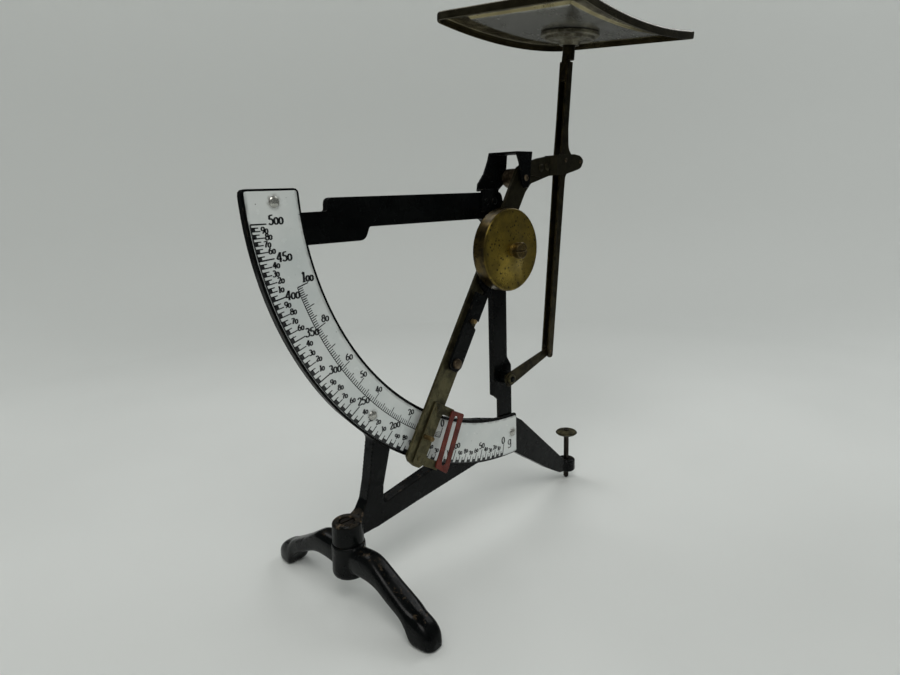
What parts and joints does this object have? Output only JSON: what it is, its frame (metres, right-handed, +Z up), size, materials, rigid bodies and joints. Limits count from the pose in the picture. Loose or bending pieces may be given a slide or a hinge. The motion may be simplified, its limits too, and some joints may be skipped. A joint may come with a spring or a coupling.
{
  "type": "two-range pendulum letter balance",
  "caption": "Pendulum letter balance with quadrant dial, load plate on a parallel linkage and a swing-over range weight.",
  "frame": {"origin": "centre of the bounding box's base, on the table the feet stand on", "axes": "+Z up, +X along the frame arm from the dial towards the load plate, +Y from the dial's face to its back"},
  "size_m": [0.2349, 0.1032, 0.2527],
  "materials": {
    "cast_black": "semi-gloss black enamel, chipped at the hub",
    "sheet_black": "semi-gloss black enamel on sheet steel",
    "dial_enamel": "glossy white enamel with black print",
    "rivet_metal": "dull domed rivets",
    "worn_brass": "worn nickel plate over brass, olive brown",
    "weight_brass": "pitted, tarnished brass",
    "plated_pan": "worn grey nickel with dark brass edges",
    "screw_steel": "browned steel",
    "index_red": "worn red paint"
  },
  "bodies": {
    "stand": {"base_casting": "cast_black", "cross_foot": "cast_black", "foot_clamp_screw": "screw_steel", "frame_post_arm": "sheet_black", "dial_tray": "sheet_black", "dial_plate": "dial_enamel", "dial_rivet_top": "rivet_metal", "dial_rivet_middle": "rivet_metal", "dial_rivet_bottom": "rivet_metal", "bearing_yoke": "sheet_black", "yoke_rivet_left": "sheet_black", "yoke_rivet_right": "sheet_black", "link_stud": "screw_steel", "link_collar": "weight_brass"},
    "lever": {"pointer_lever": "worn_brass", "lever_axle": "screw_steel", "axle_hub": "screw_steel", "hub_bush": "weight_brass", "fork_cheek_front": "worn_brass", "fork_cheek_back": "worn_brass", "fork_rivet_inner": "worn_brass", "fork_rivet_outer": "worn_brass", "fork_tip_pin": "screw_steel", "load_pin": "screw_steel", "index_bracket": "worn_brass", "index_frame": "index_red", "index_rivet_upper": "worn_brass", "index_rivet_lower": "worn_brass", "upper_stop_pin": "weight_brass", "lower_stop_pin": "weight_brass", "range_pivot_screw": "screw_steel"},
    "range_weight_arm": {"range_arm": "sheet_black", "range_weight": "weight_brass", "weight_collar": "weight_brass", "weight_screw": "screw_steel"},
    "load_carrier": {"load_rod": "worn_brass", "rod_foot_pin": "screw_steel", "pan_spigot": "worn_brass", "pan_flange": "weight_brass", "pan_tray": "plated_pan", "pan_rivet": "plated_pan"},
    "stay": {"stay_link": "worn_brass"},
    "level_screw": {"levelling_screw": "screw_steel", "levelling_knob": "weight_brass"}
  },
  "joints": [
    {"name": "lever_swing", "type": "hinge", "parent": "stand", "child": "lever", "pos_m": [0.02378, -0.004, 0.175], "axis": [0, 1, 0], "range_deg": [-20.3, 62]},
    {"name": "load_carrier_pivot", "type": "hinge", "parent": "lever", "child": "load_carrier", "pos_m": [0.05418, -0.0075, 0.18326], "axis": [0, 1, 0], "range_deg": [-62.5, 21]},
    {"name": "stay_swing", "type": "hinge", "parent": "stand", "child": "stay", "pos_m": [0.01368, -0.0075, 0.077], "axis": [0, 1, 0], "range_deg": [-21, 62.5]},
    {"name": "range_flip", "type": "hinge", "parent": "lever", "child": "range_weight_arm", "pos_m": [-0.02686, -0.01, 0.09427], "axis": [0, -1, 0], "range_deg": [0, 180]},
    {"name": "level_screw_travel", "type": "slide", "parent": "stand", "child": "level_screw", "axis": [0, 0, 1], "range_m": [-0.006, 0.003]}
  ],
  "couplings": [
    {"joint": "load_carrier_pivot", "follows": "lever_swing", "ratio": -1},
    {"joint": "stay_swing", "follows": "lever_swing", "ratio": 1}
  ]
}
